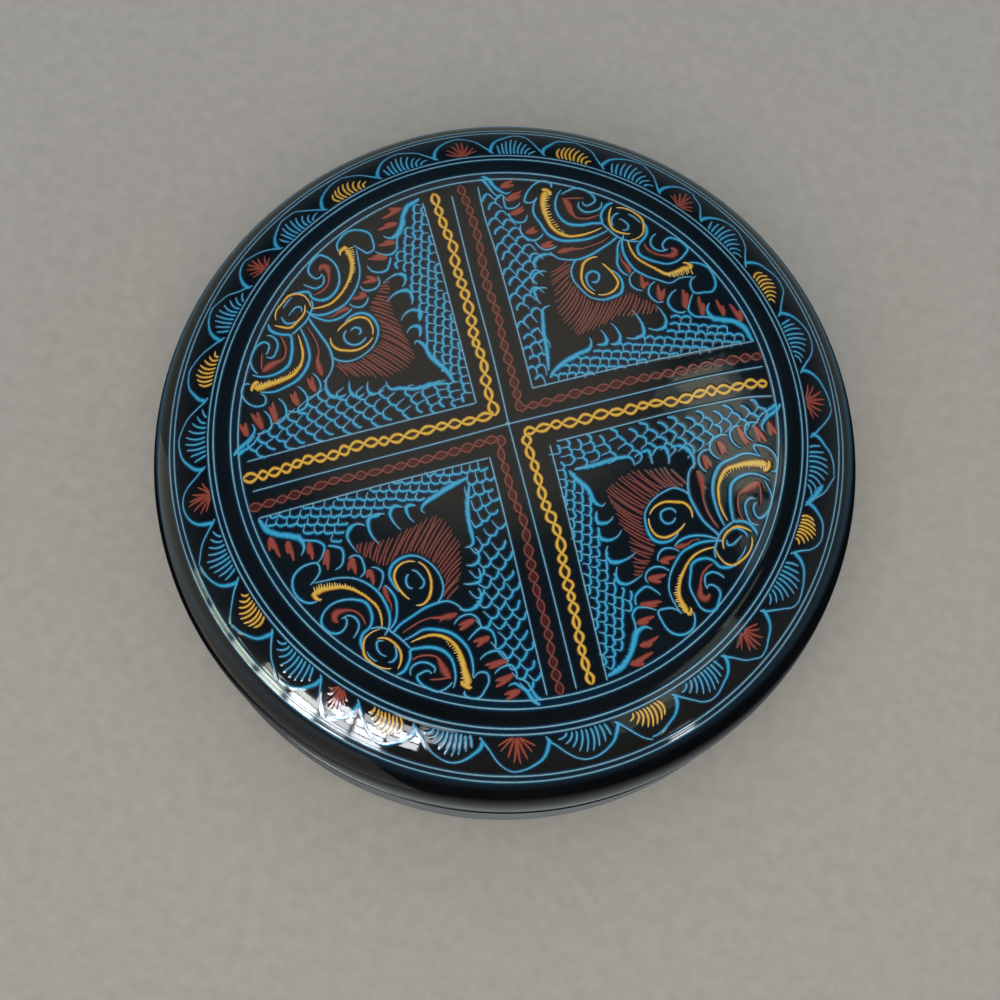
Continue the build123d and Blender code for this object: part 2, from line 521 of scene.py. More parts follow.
arch_lines = Layer("border_arches", "b")
fans = {
    paint: Layer("border_fans_" + colour, paint)
    for paint, colour in (("b", "turquoise"), ("y", "yellow"), ("r", "red"))
}
fan_wobble = {"b": 0.06, "y": 0.05, "r": 0.1}
for begin, end, paint in zip(ARCH_STARTS, ARCH_STARTS[1:] + (360,), FAN_PAINTS):
    span = end - begin
    high, slip = hand.uniform(-0.4, 0.4), hand.uniform(-0.04, 0.04)
    # Most arches are one stroke.
    for side in (ARCH_RISE, LIFTED_FALL) if hand.random() < 0.3 else (ARCH_RISE + ARCH_FALL,):
        points = []
        for part, out, width in side:
            turn = begin + span * (part + (slip if out > 63 else 0))
            points.append(on_border(turn, out + high * min(1, max(0, (out - 60) / 3)), width))
        arch_lines.stroke(points, press=1.1)
    for foot, bend, (part, tip, width) in FANS[paint]:
        shape = (foot, bend, (part, tip + 0.5 * high, width))
        points = [on_border(begin + span * part, out, width) for part, out, width in shape]
        fans[paint].stroke(points, wobble=fan_wobble[paint], press=1.0)
# A smudge over the first arch, where a hand brushed the wet paint.
smudge = ((9.0, 62.4, 0.5), (10.5, 61.4, 1.2), (12.2, 60.4, 1.0), (13.6, 59.3, 0.4))
arch_lines.stroke([on_border(*point) for point in smudge], ragged=0.5, press=1.0)
arch_lines.build()
for fan in fans.values():
    fan.build()


# ---- the cross and its four quarters ----
def along_arm(turn, a, b):
    """From an arm's own measures (a outwards along it, b to its left) to the lid."""
    c, s = cos(radians(turn)), sin(radians(turn))
    return a * c - b * s, a * s + b * c


def to_lid(turn, v, u):
    """From a quarter's own measures (v across to the right, u outwards along its middle) to the lid."""
    return along_arm(turn, u, -v)


# The cross's four arms: each one's turn in degrees, then its lines of (a, b) points.
Arm = namedtuple("Arm", "turn centre_line left_cord left_border right_cord right_border")
ARM_LINES = (
    (21.0, ((-0.45, -0.1), (13, 0.0), (25, 0.3), (38, 0.8), (45, 0.9), (51.6, 0.7)),
     ((4.5, 2.4), (8, 2.4), (13, 2.8), (18, 2.8), (25, 3.0), (38, 3.0), (45, 3.25), (52.0, 2.9)),
     ((5.7, 5.65), (20, 6.0), (35, 6.2), (51.0, 6.1)),
     ((4.5, -2.5), (7, -2.3), (12, -2.6), (18, -2.3), (22, -2.6), (27, -2.3), (33, -2.8), (38.5, -2.1),
      (44, -2.4), (47, -2.2), (51.3, -2.9)),
     ((7.5, -5.5), (20, -5.2), (30, -4.9), (40, -4.7), (47, -4.8), (51.6, -5.5))),
    (111.0, ((-0.2, 0.45), (15, 0.05), (30, 0.0), (40, -0.15), (49.8, -0.45)),
     ((4.5, 2.6), (9, 2.6), (13, 2.1), (18, 2.6), (23, 2.2), (29, 2.2), (35, 2.4), (38, 2.0), (43, 2.6),
      (51.2, 2.9)),
     ((5.2, 5.45), (20, 5.45), (35, 5.35), (49.6, 5.5)),
     ((4.5, -2.6), (9, -2.7), (17, -2.7), (22, -3.0), (28, -2.5), (33, -2.8), (40, -3.3), (45, -3.2),
      (51.8, -2.5)),
     ((5.6, -5.8), (20, -5.9), (35, -5.9), (45, -5.7), (50.5, -6.1))),
    (201.0, ((0.5, 0.15), (13, 0.5), (30, 0.55), (50.8, 0.5)),
     ((4.5, 2.4), (9, 2.8), (18, 3.1), (30, 3.0), (35, 2.7), (41, 3.2), (46, 3.5), (52.2, 3.6)),
     ((5.6, 5.75), (20, 5.8), (35, 5.85), (50.8, 5.9)),
     ((4.5, -2.3), (8, -2.2), (13, -2.5), (19, -2.3), (24, -2.4), (28, -2.9), (31, -2.7), (35, -2.2),
      (39, -2.7), (43, -2.2), (52.0, -2.4)),
     ((5.3, -5.35), (20, -5.3), (35, -5.4), (50.6, -5.5))),
    (291.0, ((0.2, -0.45), (15, -0.35), (30, -0.25), (51.6, -0.1)),
     ((4.5, 2.1), (9, 2.4), (18, 2.7), (21, 3.3), (24, 3.6), (28, 3.1), (36, 3.0), (42, 2.7), (48, 2.6),
      (51.5, 3.0)),
     ((5.8, 6.2), (20, 6.15), (35, 6.0), (51.4, 5.8)),
     ((4.5, -3.1), (9, -3.1), (15, -2.9), (19, -2.2), (24, -2.6), (31, -3.0), (40, -2.8), (46, -3.2),
      (52.0, -3.1)),
     ((5.4, -5.5), (20, -5.5), (35, -5.6), (51.4, -5.8))),
)
ARMS = [Arm(*lines) for lines in ARM_LINES]


def on_arm(arm, line, width):
    """One of an arm's lines, on the lid."""
    return [(*along_arm(arm.turn, a, b), width) for a, b in line]


cross = Layer("cross_centre_lines", "p")
for arm in ARMS:
    cross.stroke(on_arm(arm, arm.centre_line, 0.28), wobble=0.05, press=1.0)
cross.line(smooth_line(((-0.95, -0.25, 0.9), (-0.45, -0.25, 1.05), (0.05, -0.25, 0.9)), 0.08), halo=0.2)
cross.build()

# Leaf edge and the hooks along it; every point is (across, outwards, width).
LEAF_EDGE = (
    ((0.7, 13.9, 0.4), (-1.4, 18.0, 0.8), (-3.3, 20.7, 0.75), (-5.0, 22.4, 0.7), (-6.0, 23.6, 0.55),
     (-5.0, 25.0, 0.12)),
    ((-6.4, 24.2, 0.2), (-8.0, 24.9, 0.5), (-8.7, 25.9, 0.7), (-8.0, 27.0, 0.5), (-6.8, 27.8, 0.12)),
    ((-9.0, 27.0, 0.2), (-10.3, 27.8, 0.5), (-10.7, 28.9, 0.7), (-9.8, 30.1, 0.5), (-8.3, 31.0, 0.12)),
    ((-11.0, 30.1, 0.2), (-12.3, 30.9, 0.6), (-12.8, 32.5, 0.8), (-12.0, 34.2, 0.6), (-10.0, 35.2, 0.3)),
    ((1.4, 13.3, 0.5), (3.0, 16.0, 0.85), (4.8, 19.4, 0.85), (6.0, 22.0, 0.65), (5.7, 23.1, 0.4),
     (4.6, 23.3, 0.12)),
    ((6.8, 22.8, 0.25), (8.4, 24.1, 0.75), (7.4, 25.2, 0.45), (5.5, 25.8, 0.12)),
    ((9.0, 24.4, 0.25), (10.7, 25.6, 0.75), (10.3, 26.8, 0.6), (8.8, 27.9, 0.35), (6.8, 28.3, 0.12)),
    ((11.0, 27.3, 0.25), (12.9, 28.2, 0.5), (13.3, 29.6, 0.75), (12.4, 31.0, 0.6), (10.5, 32.2, 0.35),
     (8.7, 32.7, 0.12)),
    ((13.2, 31.2, 0.25), (14.9, 31.9, 0.5), (15.6, 33.1, 0.75), (15.2, 34.3, 0.6), (13.5, 35.6, 0.3),
     (11.7, 36.1, 0.12)),
    ((20.8, 41.9, 0.15), (21.1, 40.2, 0.6), (22.6, 39.4, 1.0), (24.6, 39.8, 1.0), (27.0, 40.8, 0.9),
     (29.0, 41.1, 1.0), (30.6, 40.5, 0.8), (31.8, 40.1, 0.4)),
    ((-32.2, 42.4, 0.5), (-30.4, 42.4, 0.8), (-28.9, 41.8, 0.7), (-27.2, 41.5, 0.6), (-25.9, 41.7, 0.45),
     (-25.2, 42.8, 0.12)),
    ((-32.0, 41.6, 0.3), (-31.0, 41.7, 0.7), (-29.5, 41.0, 0.5), (-28.0, 40.4, 0.4), (-26.2, 40.4, 0.35)),
)
# Blue arcs that cup the red petals.
PETAL_CUPS = (
    ((-26.0, 40.9, 0.2), (-25.0, 39.7, 0.45), (-23.8, 39.3, 0.5), (-22.5, 40.1, 0.4), (-21.8, 42.2, 0.14)),
    ((-23.0, 39.0, 0.3), (-22.0, 38.1, 0.5), (-20.5, 38.0, 0.55), (-19.0, 39.3, 0.4), (-18.4, 41.3, 0.14)),
    ((-19.6, 38.2, 0.25), (-18.7, 36.4, 0.45), (-17.2, 35.5, 0.65), (-15.5, 36.2, 0.5), (-14.6, 38.0, 0.3),
     (-14.4, 39.4, 0.12)),
    ((-15.3, 36.2, 0.25), (-14.0, 35.1, 0.4), (-12.5, 35.1, 0.4), (-11.3, 36.3, 0.35), (-10.8, 38.3, 0.12)),
    ((-11.3, 35.3, 0.25), (-9.5, 35.0, 0.3), (-7.5, 35.4, 0.4), (-6.0, 36.5, 0.55), (-4.5, 38.5, 0.6),
     (-3.3, 41.0, 0.55), (-2.2, 44.0, 0.5), (-1.6, 45.6, 0.4)),
    ((4.8, 40.0, 0.14), (4.9, 38.3, 0.3), (5.8, 37.0, 0.45), (7.0, 36.7, 0.35), (8.3, 37.2, 0.14)),
    ((9.2, 39.9, 0.14), (8.9, 38.5, 0.35), (9.5, 37.2, 0.45), (10.9, 36.6, 0.35), (12.1, 36.9, 0.3),
     (12.8, 37.9, 0.12)),
    ((13.8, 41.0, 0.12), (13.3, 39.5, 0.35), (13.6, 38.0, 0.5), (14.9, 37.1, 0.6), (16.2, 37.2, 0.45),
     (17.6, 38.0, 0.4)),
    ((17.2, 41.5, 0.14), (17.3, 39.6, 0.35), (18.1, 38.3, 0.6), (19.5, 38.0, 0.55), (21.2, 38.8, 0.45),
     (23.0, 39.4, 0.3)),
)
# Red petals: the root, then the tips of the two tails.
PETALS = (
    ((-27.6, 42.2), (-26.3, 45.2), (-25.2, 44.2)), ((-25.0, 40.4), (-23.4, 44.2), (-22.5, 43.2)),
    ((-22.7, 38.6), (-20.5, 41.9), (-19.4, 41.7)), ((-17.7, 36.7), (-16.4, 39.7), (-15.4, 39.1)),
    ((-13.7, 35.5), (-12.1, 38.7), (-11.3, 38.0)), ((8.1, 37.5), (5.9, 39.7), (8.1, 39.2)),
    ((12.1, 37.3), (9.8, 39.8), (11.6, 39.9)), ((17.1, 38.4), (14.8, 41.7), (16.2, 41.3)),
    ((20.8, 38.9), (18.2, 41.5), (19.8, 41.0)), ((24.6, 40.8), (21.2, 43.5), (23.3, 43.0)),
    ((27.9, 41.8), (23.8, 44.1), (26.6, 44.2)),
)
LONG_PETALS = (
    ((-10.2, 36.1, 0.5), (-9.2, 37.4, 1.3), (-8.0, 38.6, 0.8), (-6.4, 39.4, 0.35), (-5.1, 40.8, 0.3),
     (-4.0, 42.6, 0.3), (-3.2, 44.6, 0.14)),
    ((-8.6, 37.9, 0.6), (-8.2, 39.3, 0.14)),
    ((4.3, 38.9, 0.5), (3.5, 39.8, 1.1), (2.4, 40.5, 0.7), (1.3, 41.0, 0.3), (0.3, 42.6, 0.12)),
)
EYE_YELLOW = (
    ((-2.7, 39.0, 0.15), (-3.8, 38.0, 0.5), (-4.2, 36.5, 0.7), (-3.6, 34.8, 0.7), (-2.4, 33.0, 0.6),
     (-0.8, 32.0, 0.45), (1.3, 31.8, 0.2)),
    ((-1.2, 38.5, 0.2), (0.4, 38.2, 0.5), (2.2, 37.5, 0.6), (3.6, 36.3, 0.65), (3.9, 34.9, 0.6),
     (3.1, 33.1, 0.4), (1.6, 32.0, 0.2)),
)
EYE_BLUE = (
    ((-6.0, 36.6, 0.3), (-6.0, 35.0, 0.45), (-5.4, 33.5, 0.4), (-4.2, 32.2, 0.35), (-2.0, 31.1, 0.35),
     (0.2, 30.7, 0.3), (1.6, 30.9, 0.35), (3.0, 31.7, 0.5), (4.3, 33.1, 0.7), (4.9, 34.8, 0.8),
     (4.5, 36.4, 0.7), (3.0, 37.7, 0.5), (1.0, 38.2, 0.2)),
)
# The curl inside the eye is drawn differently in each quarter.
EYE_CURLS = {
    "north_east": (
        ((1.0, 32.6, 0.14), (-1.0, 33.5, 0.45), (-1.9, 34.9, 0.6), (-1.2, 36.1, 0.6), (0.1, 36.3, 0.55),
         (0.8, 35.4, 0.55), (0.5, 34.4, 0.5), (-0.3, 34.4, 0.2)),
    ),
    "north_west": (
        ((0.8, 33.0, 0.2), (-0.8, 33.2, 0.45), (-1.9, 34.2, 0.5), (-2.1, 35.7, 0.5), (-1.2, 36.9, 0.4),
         (0.2, 37.0, 0.2)),
        ((0.2, 36.2, 0.15), (1.2, 35.8, 0.45), (1.5, 34.9, 0.5), (0.9, 34.3, 0.4), (0.4, 34.6, 0.14)),
    ),
    "south_west": (
        ((-0.9, 36.4, 0.15), (0.0, 36.7, 0.4), (0.9, 36.2, 0.45), (1.4, 35.3, 0.45), (1.4, 34.5, 0.2)),
        ((-1.6, 36.0, 0.15), (-2.1, 35.2, 0.4), (-1.8, 34.4, 0.4), (-0.8, 33.8, 0.35), (0.4, 33.6, 0.3),
         (1.5, 33.8, 0.14)),
    ),
    "south_east": (
        ((-1.3, 36.4, 0.2), (-0.1, 36.5, 0.4), (0.7, 35.7, 0.5), (0.5, 34.4, 0.5), (-0.6, 33.8, 0.4),
         (-1.7, 34.2, 0.4), (-2.2, 35.2, 0.4), (-1.9, 36.2, 0.2)),
    ),
}
SPRAY_BLUE = (
    ((-6.3, 51.6, 0.2), (-7.2, 50.5, 0.75), (-7.3, 49.0, 0.7), (-6.9, 47.5, 0.6), (-6.2, 46.4, 0.6),
     (-7.5, 45.2, 0.7), (-9.5, 44.0, 0.85), (-11.5, 43.4, 0.85), (-13.5, 43.8, 0.7), (-15.2, 45.1, 0.5),
     (-16.3, 46.8, 0.35), (-16.7, 48.4, 0.12)),
    ((-6.2, 46.3, 0.3), (-4.5, 45.8, 0.4), (-2.5, 45.5, 0.45), (-0.5, 45.6, 0.4), (1.0, 45.9, 0.4),
     (2.3, 46.8, 0.3)),
    ((1.0, 51.2, 0.3), (2.5, 49.7, 0.8), (3.0, 48.2, 0.75), (2.5, 46.8, 0.6), (2.6, 45.4, 0.65),
     (3.6, 44.1, 0.75), (5.5, 43.3, 0.7), (7.5, 43.7, 0.55), (9.5, 45.0, 0.45), (10.9, 46.9, 0.4),
     (11.4, 49.0, 0.45), (11.0, 50.6, 0.6), (9.9, 51.3, 0.8), (8.2, 51.2, 0.6), (6.8, 50.5, 0.5),
     (6.3, 49.3, 0.4), (6.6, 48.2, 0.4), (7.3, 47.7, 0.3), (7.8, 48.1, 0.14)),
    ((4.2, 50.0, 0.14), (4.0, 48.7, 0.35), (4.5, 47.3, 0.45), (5.8, 46.6, 0.45), (7.0, 47.0, 0.3),
     (7.7, 47.8, 0.14)),
    ((-16.0, 47.3, 0.14), (-15.6, 48.8, 0.35), (-14.6, 50.1, 0.45), (-12.8, 50.8, 0.55), (-11.0, 50.6, 0.6),
     (-9.8, 49.9, 0.5), (-10.0, 48.9, 0.4), (-11.0, 48.0, 0.35), (-12.0, 48.3, 0.14)),
    ((-8.6, 50.5, 0.14), (-8.1, 49.3, 0.35), (-8.8, 47.6, 0.45), (-10.3, 46.7, 0.45), (-11.8, 46.9, 0.35),
     (-12.4, 47.9, 0.14)),
    ((-3.9, 45.6, 0.2), (-5.0, 43.8, 0.4), (-6.5, 42.0, 0.6), (-8.5, 40.6, 0.75), (-11.0, 39.9, 0.8),
     (-13.5, 40.0, 0.75), (-15.5, 40.8, 0.6), (-17.3, 42.3, 0.5), (-18.9, 44.9, 0.3)),
    ((-19.1, 44.8, 0.14), (-19.4, 43.3, 0.35), (-20.5, 42.8, 0.5), (-21.6, 43.7, 0.45), (-22.0, 45.5, 0.35),
     (-21.8, 47.0, 0.4), (-20.5, 48.1, 0.5), (-19.0, 48.3, 0.5), (-18.5, 47.5, 0.2)),
    ((-0.5, 46.8, 0.2), (-0.4, 44.6, 0.5), (0.7, 42.7, 0.65), (2.5, 41.2, 0.65), (4.5, 40.3, 0.6),
     (7.0, 40.0, 0.5), (9.5, 40.4, 0.35), (12.0, 41.7, 0.3), (14.0, 43.4, 0.25), (15.8, 45.0, 0.14)),
    ((-0.8, 45.6, 0.2), (-0.8, 43.4, 0.45), (0.0, 41.2, 0.55), (1.2, 39.8, 0.6), (2.7, 38.9, 0.5),
     (4.4, 38.6, 0.2)),
    ((13.4, 47.5, 0.3), (14.6, 48.6, 0.45), (16.5, 49.0, 0.6), (18.4, 48.2, 0.6), (19.8, 46.3, 0.55),
     (19.9, 44.6, 0.5), (19.0, 42.9, 0.4), (17.2, 41.7, 0.4), (16.2, 42.4, 0.45), (16.0, 44.0, 0.35),
     (16.3, 45.7, 0.12)),
    ((-3.7, 50.6, 0.15), (-4.4, 49.8, 0.4), (-4.5, 48.8, 0.5), (-4.0, 47.8, 0.4), (-3.0, 47.3, 0.15)),
    ((-3.0, 49.7, 0.15), (-1.6, 49.6, 0.3), (-0.6, 49.1, 0.45), (-0.3, 48.4, 0.4), (-1.2, 47.6, 0.14)),
    ((-2.2, 51.2, 0.12), (-0.6, 51.3, 0.25), (0.8, 50.8, 0.12)),
)
SPRAY_YELLOW = (
    ((-5.9, 50.6, 0.15), (-5.6, 48.9, 0.5), (-4.8, 47.6, 0.6), (-3.0, 46.9, 0.55), (-1.0, 46.9, 0.45),
     (0.4, 47.8, 0.15)),
    ((-5.1, 50.9, 0.2), (-3.4, 51.9, 0.35), (-1.3, 52.1, 0.45), (0.6, 51.5, 0.6), (1.7, 50.4, 0.6),
     (2.1, 49.0, 0.4), (1.8, 47.7, 0.3), (0.6, 46.0, 0.2)),
)
CRESCENTS = (
    ((-5.4, 45.3, 0.15), (-6.5, 43.6, 0.4), (-8.3, 42.1, 0.6), (-10.6, 41.3, 0.75), (-12.8, 41.4, 0.85),
     (-15.0, 42.6, 1.1), (-17.0, 44.4, 1.4), (-18.3, 45.9, 1.8), (-18.7, 46.6, 2.1)),
    ((-19.8, 46.4, 0.7), (-18.4, 46.8, 1.0), (-17.2, 46.4, 0.8)),
    ((0.4, 45.8, 0.2), (1.5, 44.2, 0.45), (3.1, 43.0, 0.55), (5.5, 42.2, 0.6), (8.0, 42.2, 0.65),
     (10.5, 42.8, 0.8), (12.5, 44.0, 1.0), (14.1, 45.5, 1.3), (14.8, 46.6, 1.8)),
    ((15.0, 46.3, 1.2), (14.3, 47.1, 1.1), (13.3, 47.2, 0.5), (12.9, 46.7, 0.2)),
)
# Comb of short ticks on the thick end of each crescent: the line they stand on, and their way.
COMBS = (
    (((-11.4, 41.4, 0), (-14.9, 42.6, 0), (-18.4, 46.0, 0)), (0.62, 0.85)),
    (((8.8, 42.3, 0), (12.4, 43.9, 0), (14.9, 46.4, 0)), (0.7, -0.75)),
)
SPRAY_RED = (
    ((3.2, 46.9, 0.15), (4.5, 45.9, 0.5), (6.4, 45.7, 0.45), (8.2, 46.5, 0.7), (9.4, 47.8, 1.4),
     (9.2, 48.7, 1.3), (8.0, 48.8, 0.5)),
    ((-7.4, 48.0, 0.15), (-8.0, 46.8, 0.4), (-9.4, 45.6, 0.45), (-11.1, 45.1, 0.5), (-12.6, 45.7, 1.2),
     (-13.8, 46.5, 1.5), (-15.3, 47.0, 0.5)),
    ((-15.1, 47.0, 0.3), (-13.6, 48.2, 0.4), (-12.0, 49.1, 0.14)),
)
# The red feather strokes that fan out under the eye: (v, u) of the top and of the bottom.
FEATHER = (
    (-7.1, 35.2, -7.9, 31.5), (-6.5, 35.0, -7.4, 30.2), (-6.1, 34.2, -7.0, 29.3), (-5.6, 33.8, -6.4, 28.5),
    (-5.1, 32.6, -5.9, 27.6), (-4.6, 32.0, -5.4, 26.6), (-4.0, 31.6, -4.7, 25.6), (-3.4, 31.3, -4.0, 24.7),
    (-2.8, 31.0, -3.3, 24.3), (-2.2, 30.8, -2.6, 24.0), (-1.6, 30.6, -1.9, 23.6), (-1.0, 30.5, -1.2, 23.2),
    (-0.4, 30.4, -0.4, 22.9), (0.3, 30.4, 0.5, 22.6), (0.9, 30.4, 1.2, 22.5), (1.5, 30.5, 1.8, 22.2),
    (2.1, 30.7, 2.5, 22.3), (2.7, 30.9, 3.1, 22.9), (3.3, 31.2, 3.8, 23.8), (3.9, 31.8, 4.4, 24.8),
    (4.5, 32.4, 5.0, 25.8), (5.0, 33.2, 5.5, 26.8), (5.5, 34.4, 6.1, 27.2), (5.9, 35.4, 6.6, 28.6),
    (6.5, 35.8, 7.4, 30.2), (7.1, 36.0, 8.1, 30.5), (7.7, 36.0, 8.8, 31.2), (8.4, 36.0, 9.5, 31.6),
    (9.1, 36.0, 10.2, 32.3), (9.8, 36.1, 10.8, 33.0), (10.5, 36.1, 11.5, 33.4), (11.2, 36.0, 12.1, 34.0),
    (12.0, 35.8, 12.7, 34.5),
)
# The net fills the space between the leaf's hooks and the cord lines.
NET_LEFT = (
    (0.0, 9.5), (0.6, 13.6), (-1.6, 17.6), (-4.7, 21.6), (-6.6, 24.0), (-9.1, 26.8), (-11.2, 30.0),
    (-13.2, 32.6), (-15.3, 35.4), (-17.5, 35.0), (-19.8, 37.4), (-23.0, 38.4), (-26.0, 40.0), (-29.5, 41.2),
    (-32.0, 41.4),
)
NET_RIGHT = (
    (0.0, 9.5), (1.2, 13.2), (5.2, 19.2), (7.0, 22.4), (9.2, 23.9), (11.2, 26.8), (13.5, 30.6), (15.9, 32.4),
    (15.4, 36.0), (17.6, 37.2), (21.0, 38.0), (24.5, 38.8), (29.0, 40.2), (31.6, 39.9),
)
# One fish scale between two joints of its row, as (part of the way, height in mm over it, width).
SCALE = (
    (-0.06, -0.1, 0.44), (0.28, 0.27, 0.56), (0.62, 0.4, 0.58), (0.9, 0.2, 0.46), (1.0, -0.25, 0.3),
    (0.97, -0.9, 0.22), (0.88, -1.75, 0.14),
)
scale_length = 1.72  # of a scale in the leaning columns
row_gap = 1.62  # between the sinking rows
net_start = 5.5  # how far out along both arms the nets begin
net_radius = 51.6  # where they end before the rings
border_run = 46  # length of a cord's border line
# Each cord's two paints, a link's length and swing with the least and most share of each, and a
# strand's width at the crossings with what it gains between them.
CORDS = {
    "fat": ("y", "o", (2.62, 0.76, 1.24), (0.78, 0.74, 1.18), (0.46, 0.24)),
    "thin": ("u", "m", (2.7, 0.85, 1.15), (0.74, 0.82, 1.15), (0.3, 0.08)),
}
link_steps = 8


def inside(shape, v, u):
    """Whether a point lies inside a closed outline."""
    odd = False
    for (v1, u1), (v2, u2) in zip(shape, shape[1:] + shape[:1]):
        if (u1 > u) != (u2 > u) and v < v1 + (u - u1) / (u2 - u1) * (v2 - v1):
            odd = not odd
    return odd


def scales(side):
    """Both joints of every scale in a net, as (along the border line, away from it) pairs."""
    if side < 0:  # columns that start at the border line and lean outwards
        start_at, part = -4.0, 0.0
        while start_at < 47:
            along, away = start_at, -0.1
            while away < 24:
                lean = scale_length * min(0.8, max(0.0, (along - 5) * 0.07))
                yield [(along + lean * end, away + scale_length * end) for end in (part, 1 + part)]
                along, away = along + lean, away + scale_length
            start_at += 2.0 if start_at < 10 else 2.85
            part = 0.5 - part
    else:  # small scales in rows that sink towards the border line on their way outwards
        for row in range(23):
            along, joints = -1.0 + 0.9 * (row % 2), []
            while along < 52:
                joints.append((along, 1.4 + row_gap * row - 0.26 * max(0.0, along - 7)))
                along += 1.68 + 0.006 * along
            yield from zip(joints, joints[1:])


def fish_scale_net(name, pulled, right_arm, left_arm):
    """The nets on both sides of a quarter's leaf."""
    net = Layer("fish_scale_net_" + name, "b")
    for side, shape, arm in ((-1, NET_LEFT, left_arm), (1, NET_RIGHT, right_arm)):
        border = arm.right_border if side < 0 else arm.left_border
        near_off, far_off = abs(border[0][1]), abs(border[-1][1])
        edge = tuple(pulled(v, u) for v, u in shape)
        edge += ((side * 40, 54.0), (side * 46, 46.0), (0.0, 6.0))  # closed past the rings and the cord
        for (a1, b1), (a2, b2) in scales(side):
            off = near_off + (far_off - near_off) * a1 / border_run
            size = side * hypot(a2 - a1, b2 - b1)
            over_a, over_b = (b1 - b2) / size, (a2 - a1) / size
            places = []
            for part, height, width in SCALE:
                height *= 0.8 if side > 0 else 1.2 if height < -0.5 else 1.0
                a = a1 + (a2 - a1) * part + over_a * height + net_start
                b = b1 + (b2 - b1) * part + over_b * height
                places.append((a, max(b, 0.0) + off, width))
            middle_a, middle_b = places[2][:2]
            v, u = side * (middle_a - middle_b) * sqrt(0.5), (middle_a + middle_b) * sqrt(0.5)
            crowded = middle_b < off + 0.4 or middle_a < net_start + 0.4 or hypot(u, v) > net_radius
            if crowded or not inside(edge, v, u):
                continue
            hooked = [(*along_arm(arm.turn, a, side * b), w * hand.uniform(0.85, 1.15)) for a, b, w in places]
            net.stroke(hooked, halo=0.45, press=1.0)
    net.build()


def twisted_cord(name, turn_by, cord, right_arm, left_arm):
    """The cord that runs in along one arm, round the corner and out along the other."""
    corner_point = (*along_arm(turn_by, 3.6, 0), 0)
    inwards = on_arm(right_arm, right_arm.left_cord[::-1], 0)
    way = smooth_line(inwards + [corner_point] + on_arm(left_arm, left_arm.right_cord, 0), 0.1)
    marks = [0.0]
    for a, b in zip(way, way[1:]):
        marks.append(marks[-1] + hypot(b[0] - a[0], b[1] - a[1]))
    paint, ground_paint, length, sideways, (thinnest, thicker) = CORDS[cord]
    crossings = [0.0]
    while crossings[-1] < marks[-1]:
        crossings.append(crossings[-1] + length[0] * hand.uniform(*length[1:]))
    stretch = marks[-1] / crossings[-1]
    strands, middles, step = ([], []), [], 0
    for link, (begin, end) in enumerate(zip(crossings, crossings[1:])):
        swing = sideways[0] * hand.uniform(*sideways[1:]) * (-1) ** link
        for k in range(link_steps + (end == crossings[-1])):
            run = (begin + (end - begin) * k / link_steps) * stretch
            while step < len(marks) - 2 and marks[step + 1] < run:
                step += 1
            here, there = way[step], way[step + 1]
            part = (run - marks[step]) / (marks[step + 1] - marks[step])
            x, y = (p + (q - p) * part for p, q in zip(here[:2], there[:2]))
            size = hypot(there[0] - here[0], there[1] - here[1])
            out = ((there[1] - here[1]) / size, (here[0] - there[0]) / size)
            swell = sin(pi * k / link_steps)
            for strand, aside in zip(strands, (swing * swell, -swing * swell)):
                strand.append((x + out[0] * aside, y + out[1] * aside, thinnest + thicker * swell))
            middles.append((x, y, 0.15 + 1.2 * swell))
    links, ground = Layer("twisted_cord_" + name, paint), Layer("cord_ground_" + name, ground_paint)
    for strand in strands:
        links.line(strand, halo=0.3, ragged=0.12)
    ground.line(middles, halo=0.1, lift=0.4)
    links.build()
    ground.build()


